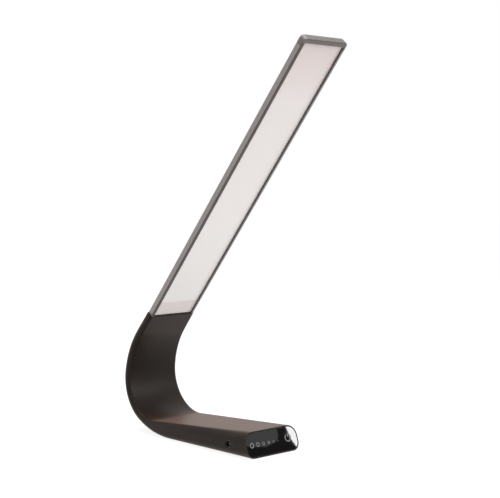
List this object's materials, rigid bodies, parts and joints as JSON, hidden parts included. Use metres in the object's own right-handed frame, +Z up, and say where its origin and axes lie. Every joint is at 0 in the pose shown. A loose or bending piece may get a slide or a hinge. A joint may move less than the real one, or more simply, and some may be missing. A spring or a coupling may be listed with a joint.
{
  "type": "light therapy desk lamp",
  "caption": "Slim light therapy desk lamp: flat edge-lit light panel on a C-shaped bendable silicone arm that flows into a weighted base with a touch panel.",
  "frame": {"origin": "middle of the foot pad's underside, on the desk", "axes": "+Z up, -Y towards the user and the touch panel, +X across the lamp's width"},
  "size_m": [0.0686, 0.2652, 0.3903],
  "materials": {
    "soft_touch_silicone": "matte, soft-touch",
    "moulded_abs": "fine moulded texture",
    "gloss_acrylic": "high gloss",
    "foot_rubber": "matte",
    "steel": "plain, cold rolled",
    "zinc_screw": "zinc plated",
    "nickel": "nickel plated",
    "circuit_board": "solder mask",
    "component_resin": "moulded",
    "nylon": "natural",
    "anodised_aluminium": "bead blasted and anodised, gunmetal",
    "opal_diffuser": "opal, matt",
    "clear_acrylic": "clear, dot printed",
    "white_film": "white",
    "led_resin": "phosphor-filled resin",
    "lead_sheath": "matte"
  },
  "bodies": {
    "base": {"anchor_screws": "zinc_screw", "arm_lead_1": "lead_sheath", "arm_sleeve_1": "soft_touch_silicone", "ballast_plate": "steel", "base_housing": "moulded_abs", "base_lead": "lead_sheath", "base_skin": "soft_touch_silicone", "board_parts": "component_resin", "board_screws": "zinc_screw", "board_spacers": "nylon", "bottom_cover": "moulded_abs", "cover_screws": "zinc_screw", "foot_pad": "foot_rubber", "hinge_pin_1": "steel", "jack_body": "moulded_abs", "jack_pin": "nickel", "jack_shell": "nickel", "main_board": "circuit_board", "spine_anchor": "steel", "touch_board": "circuit_board", "touch_panel": "gloss_acrylic", "touch_ribbon": "nylon"},
    "arm_link_1": {"arm_lead_2": "lead_sheath", "arm_sleeve_2": "soft_touch_silicone", "hinge_pin_2": "steel", "spine_link_1": "steel"},
    "arm_link_2": {"arm_lead_3": "lead_sheath", "arm_sleeve_3": "soft_touch_silicone", "hinge_pin_3": "steel", "spine_link_2": "steel"},
    "arm_link_3": {"arm_lead_4": "lead_sheath", "arm_sleeve_4": "soft_touch_silicone", "hinge_pin_4": "steel", "spine_link_3": "steel"},
    "arm_link_4": {"arm_lead_5": "lead_sheath", "arm_sleeve_5": "soft_touch_silicone", "hinge_pin_5": "steel", "spine_link_4": "steel"},
    "arm_link_5": {"arm_lead_6": "lead_sheath", "arm_sleeve_6": "soft_touch_silicone", "hinge_pin_6": "steel", "spine_link_5": "steel"},
    "head": {"arm_collar": "soft_touch_silicone", "diffuser": "opal_diffuser", "end_cap": "anodised_aluminium", "head_frame": "anodised_aluminium", "head_lead": "lead_sheath", "head_tongue": "steel", "led_board_left": "circuit_board", "led_board_right": "circuit_board", "leds_left": "led_resin", "leds_right": "led_resin", "light_guide": "clear_acrylic", "reflector": "white_film", "root_block": "moulded_abs", "root_screws": "zinc_screw"}
  },
  "joints": [
    {"name": "arm_bend_1", "type": "hinge", "parent": "base", "child": "arm_link_1", "pos_m": [0, 0.09472, 0.01148], "axis": [1, 0, 0], "range_deg": [-7, 7], "deforming": ["arm_sleeve_1", "arm_lead_1"]},
    {"name": "arm_bend_2", "type": "hinge", "parent": "arm_link_1", "child": "arm_link_2", "pos_m": [0, 0.114, 0.01956], "axis": [1, 0, 0], "range_deg": [-7, 7], "deforming": ["arm_sleeve_2", "arm_lead_2"]},
    {"name": "arm_bend_3", "type": "hinge", "parent": "arm_link_2", "child": "arm_link_3", "pos_m": [0, 0.12761, 0.03544], "axis": [1, 0, 0], "range_deg": [-7, 7], "deforming": ["arm_sleeve_3", "arm_lead_3"]},
    {"name": "arm_bend_4", "type": "hinge", "parent": "arm_link_3", "child": "arm_link_4", "pos_m": [0, 0.13262, 0.05574], "axis": [1, 0, 0], "range_deg": [-7, 7], "deforming": ["arm_sleeve_4", "arm_lead_4"]},
    {"name": "arm_bend_5", "type": "hinge", "parent": "arm_link_4", "child": "arm_link_5", "pos_m": [0, 0.12904, 0.07645], "axis": [1, 0, 0], "range_deg": [-7, 7], "deforming": ["arm_sleeve_5", "arm_lead_5"]},
    {"name": "arm_bend_6", "type": "hinge", "parent": "arm_link_5", "child": "head", "pos_m": [0, 0.12009, 0.09549], "axis": [1, 0, 0], "range_deg": [-7, 7], "deforming": ["arm_sleeve_6", "arm_lead_6"]}
  ]
}
